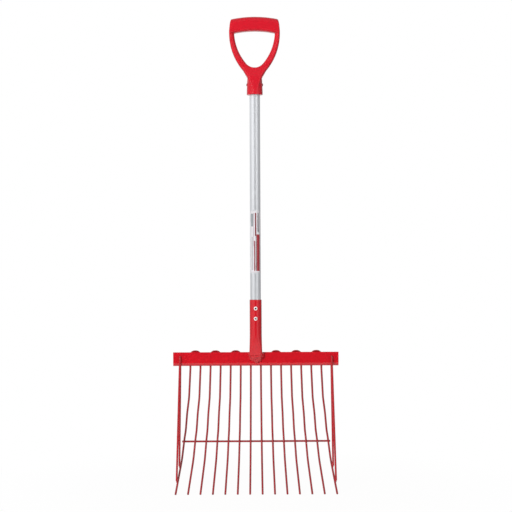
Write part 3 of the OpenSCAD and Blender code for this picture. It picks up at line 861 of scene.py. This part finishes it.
def make_cross_rod_welds():
    """A drop half way between the cross rod and each tine."""
    drops = []
    for n, i in enumerate(tine_row):
        place = tine_place(i, cross_share)
        on_rod = np.array([place[0], cross_middle[1], cross_middle[2]])
        drops.append(weld_drop((place + on_rod) / 2, crossing_drop, crossing_phase * n))
    settle(new_mesh("cross_rod_welds", *joined(drops)), shaded_rod_coat, "red_paint", "cross_rod_welds")


def make_guard_welds():
    """A drop between the outer tine and the end of each guard's leg."""
    drops = []
    for side in (-1, 1):
        for n, share in enumerate((guard_inner_share, guard_outer_share)):
            between = (tine_place(outer_tine, share) + guard_end(share)) / 2
            drops.append(weld_drop(between * [side, 1, 1], guard_drop, guard_phase * n + side))
    settle(new_mesh("guard_welds", *joined(drops)), shaded_rod_coat, "red_paint", "guard_welds")


def make_tine_welds():
    """A fillet round each rod on the flange, whose width and height swell by a few waves round it."""
    out, up = rod_fillet.T[..., None]
    u = full_turn(36)
    fillets = []
    for n, i in enumerate(flange_row):
        swell = 1 + fillet_wave * np.sin(4 * u + fillet_phase * n) + fillet_ripple * np.sin(9 * u - n)
        r = rod_r + out * swell
        rings = np.stack([r * np.cos(u) + i * tine_pitch, r * np.sin(u) + rod_y,
                          bar_low[2] + bar_t + up * swell], axis=-1)
        fillets.append(torus_skin(rings))
    settle(new_mesh("tine_welds", *joined(fillets)), powder_coat, "red_paint", "tine_welds")


def make_socket_weld():
    """The bead under the foot: drops of weld metal in three half rings, the inner ones higher, each a little
    off its place and of its own size, merged on a fine grid and softened."""
    top, face = bar_high[2], bar_low[1]
    stray = np.random.default_rng(foot_weld_seed)
    drops = []
    for count, half_w, drop, lift, r in foot_weld_rows:
        a = np.radians(np.linspace(foot_weld_start, 180 - foot_weld_start, count))
        ring = np.stack([half_w * np.cos(a), np.full_like(a, face - lift),
                         top - foot_weld_inset - drop * np.sin(a)], axis=-1)
        ring += stray.uniform(-foot_weld_stray, foot_weld_stray, ring.shape)
        sizes = r * stray.uniform(*foot_weld_sizes, count)
        drops += [weld_drop(place, (size, size, size), foot_weld_phase * k)
                  for k, (place, size) in enumerate(zip(ring, sizes))]
    weld = new_mesh("socket_weld", *joined(drops))
    merge_on_grid(weld, weld_voxel)
    soften(weld, weld_soft_passes)
    bake_modifiers(weld)
    # The bead ends inside the bar's sheet
    side = foot_weld_cut
    edge = np.array([[0, -side], [0, side], [side, side], [side, -side]])
    block = at_levels(edge, (-side, side))[..., LEVELS_TO_X] + [0, face + bar_t / 2, top]
    cut(weld, new_mesh("block", *closed_skin(block)))
    settle(weld, powder_coat, "red_paint", "socket_weld")


make_grip()
make_grip_rivet()
make_shaft()
make_label()
make_socket()
make_rivets()
make_head_bar()
make_tine_pairs()
make_side_guards()
make_cross_rod()
make_cross_rod_welds()
make_guard_welds()
make_tine_welds()
make_socket_weld()

# Studio, in metres: white floor and background, soft boxes on both sides, a key from the upper left and a
# fill from behind; gloss shows upright cards in place of the lamps
scene = bpy.context.scene
scene.view_settings.view_transform = "Standard"
fork_middle = (0, 0, -0.55)
lamp_distance = 2.4
world_light = 0.18
camera_place = (0.0015, -3.5, -0.5663)
camera_lean = 0.0043  # radians

camera = bpy.data.objects.new("camera", bpy.data.cameras.new("camera"))
camera.location = camera_place
camera.rotation_euler = (math.pi / 2, camera_lean, 0)
camera.data.lens = 97.66
camera.data.sensor_width = 36.0
scene.collection.objects.link(camera)
scene.camera = camera


def area_light(name, place, width, height, power):
    """A soft box at a place, turned to the fork's middle."""
    data = bpy.data.lights.new(name, "AREA")
    data.shape = "RECTANGLE"
    data.size, data.size_y = width, height
    data.energy = power
    lamp = bpy.data.objects.new(name, data)
    lamp.location = place
    aim = unit(np.array(fork_middle) - np.array(place))
    lamp.rotation_euler = (math.acos(-aim[2]), 0, math.atan2(aim[1], aim[0]) - math.pi / 2)
    lamp.visible_glossy = False
    scene.collection.objects.link(lamp)


def around(degrees):
    """A place on a level circle about the fork's middle, counted from the camera to the right."""
    a = math.radians(degrees)
    return lamp_distance * math.sin(a), -lamp_distance * math.cos(a), fork_middle[2]


area_light("left soft box", around(-43), 2.2, 2.6, 12)
area_light("right soft box", around(44), 1.2, 2.6, 9)
area_light("key", (-1.1, -2.6, 0.45), 1.0, 1.0, 64)
area_light("back fill", (0.5, 2.8, 0.3), 1.6, 1.6, 34)

# Cards, in millimetres; their light falls to a share of itself from one level down to another
card_r = 2800.0
card_t = 2.0
card_low_z = -1900.0
card_top_z = 1500.0
card_full_z = 100.0
card_dim_z = -900.0
card_dim_share = 0.5
card_step = 5.0  # degrees


def make_card(name, first, last, strength):
    """A bent upright card about the fork between two bearings, dimmer low down, which only gloss shows."""
    a = np.radians(np.linspace(first, last, 2 + int(abs(last - first) / card_step)))
    arc = np.stack([np.sin(a), -np.cos(a)], axis=-1)
    edge = np.concatenate([card_r * arc, (card_r + card_t) * arc[::-1]])
    card = new_mesh(name, *closed_skin(at_levels(edge, (card_low_z, card_top_z))))
    material, tree, output, coords = new_material(name)
    axes = shader(tree, "ShaderNodeSeparateXYZ", {0: coords})
    level = shader(tree, "ShaderNodeMapRange", {
        0: axes.outputs[2], 1: card_dim_z * MM, 2: card_full_z * MM,
        3: card_dim_share * strength, 4: strength})
    glow = shader(tree, "ShaderNodeEmission", {"Color": linear("#ffffff"), "Strength": level.outputs[0]})
    tree.links.new(glow.outputs[0], output.inputs[0])
    card.data.materials.append(material)
    card.visible_camera = card.visible_diffuse = card.visible_shadow = False


make_card("card at the left", -168, -72, 0.95)
make_card("left panel", -72, -17, 1.6)
make_card("card behind the camera", -17, 17, 0.22)
make_card("right panel", 17, 50, 1.75)
make_card("card at the right", 50, 168, 0.52)


def background_rays(tree):
    """One for rays that see the white background: from the camera, mirrored or let through."""
    path = shader(tree, "ShaderNodeLightPath")
    seen = path.outputs["Is Camera Ray"]
    for ray in ("Is Glossy Ray", "Is Transmission Ray"):
        seen = shader(tree, "ShaderNodeMath", {0: seen, 1: path.outputs[ray]}, operation="MAXIMUM").outputs[0]
    return seen


def make_world():
    """A world that is white to look at and lights the fork only weakly."""
    world = bpy.data.worlds.new("white studio")
    scene.world = world
    world.use_nodes = True
    tree = world.node_tree
    tree.nodes.clear()
    level = shader(tree, "ShaderNodeMapRange", {0: background_rays(tree), 3: world_light, 4: 1.0})
    back = shader(tree, "ShaderNodeBackground", {"Color": linear("#ffffff"), "Strength": level.outputs[0]})
    tree.links.new(back.outputs[0], shader(tree, "ShaderNodeOutputWorld").inputs[0])


# Floor, in millimetres; it fades between two distances from the part's origin, 1.16 m above its middle
floor_r = 1500.0
floor_t = 4.0
floor_gap = 0.5
floor_fade_near = 1200.0
floor_fade_far = 1400.0
floor_white = 0.96


def make_floor():
    """A round white floor under the tips that fades into the white background and keeps the shadow."""
    top = cad_box[0][2] / MM - floor_gap
    floor = new_mesh("floor", *revolved(((floor_r, top - floor_t), (floor_r, top))))
    material, tree, output, coords = new_material("white studio floor")
    distance = shader(tree, "ShaderNodeVectorMath", {0: coords}, operation="LENGTH")
    fade = shader(tree, "ShaderNodeMapRange", {
        0: distance.outputs["Value"], 1: floor_fade_near * MM, 2: floor_fade_far * MM,
        3: floor_white, 4: 1.0})
    amount = shader(tree, "ShaderNodeMath", {0: background_rays(tree), 1: fade.outputs[0]},
                    operation="MULTIPLY")
    matt = shader(tree, "ShaderNodeBsdfPrincipled", {"Base Color": linear("#f6f6f6"), "Roughness": 0.9})
    white = shader(tree, "ShaderNodeEmission", {"Color": linear("#ffffff"), "Strength": 1.0})
    mix = shader(tree, "ShaderNodeMixShader", {0: amount.outputs[0], 1: matt.outputs[0], 2: white.outputs[0]})
    tree.links.new(mix.outputs[0], output.inputs[0])
    floor.data.materials.append(material)


make_world()
make_floor()
